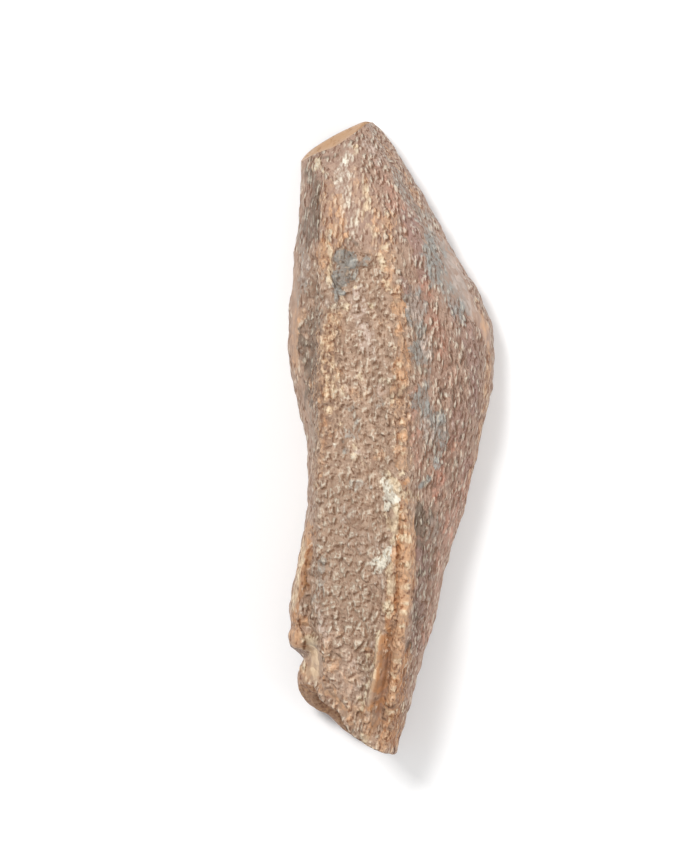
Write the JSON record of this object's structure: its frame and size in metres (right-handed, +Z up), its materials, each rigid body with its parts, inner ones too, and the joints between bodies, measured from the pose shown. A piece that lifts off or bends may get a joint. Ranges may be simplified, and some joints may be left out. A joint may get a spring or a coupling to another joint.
{
  "type": "fossil dinosaur tooth",
  "caption": "Long diamond-crowned fossil tooth with a broad pebbled face, a keel beside it, a worn slanting tip and a broken hollow root, lying on its enamelled side.",
  "frame": {"origin": "on the ground, under the middle of the tooth's box as it lies on its enamelled side", "axes": "+Y from the broken root to the worn tip, +X to the right as seen from above, +Z up, away from the enamelled side"},
  "size_m": [0.0138, 0.042, 0.0097],
  "materials": {
    "fossil_tooth": "pebbled tan and brown dentine with a faint polish, greyer where it has scaled"
  },
  "bodies": {
    "root": {"tooth": "fossil_tooth"}
  },
  "joints": []
}
